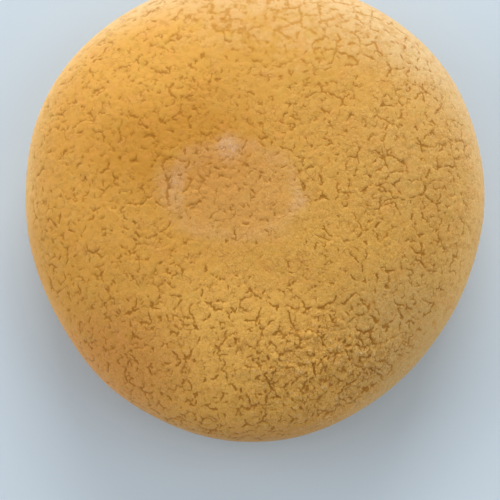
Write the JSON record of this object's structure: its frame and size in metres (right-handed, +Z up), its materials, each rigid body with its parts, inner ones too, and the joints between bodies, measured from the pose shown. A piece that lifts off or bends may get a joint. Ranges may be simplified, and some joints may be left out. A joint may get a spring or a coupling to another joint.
{
  "type": "egg biscuit",
  "caption": "Large round egg biscuit with a domed, finely cracked golden crust, a smooth bulging side and a flat underside.",
  "frame": {"origin": "at the underside, below the middle of the bounding box", "axes": "+Z up from the flat underside through the crown; -Y is the edge that is lowest in the picture and +X is to the right there"},
  "size_m": [0.1252, 0.129, 0.0443],
  "materials": {
    "crust": "matte"
  },
  "bodies": {
    "root": {"egg_biscuit": "crust"}
  },
  "joints": []
}
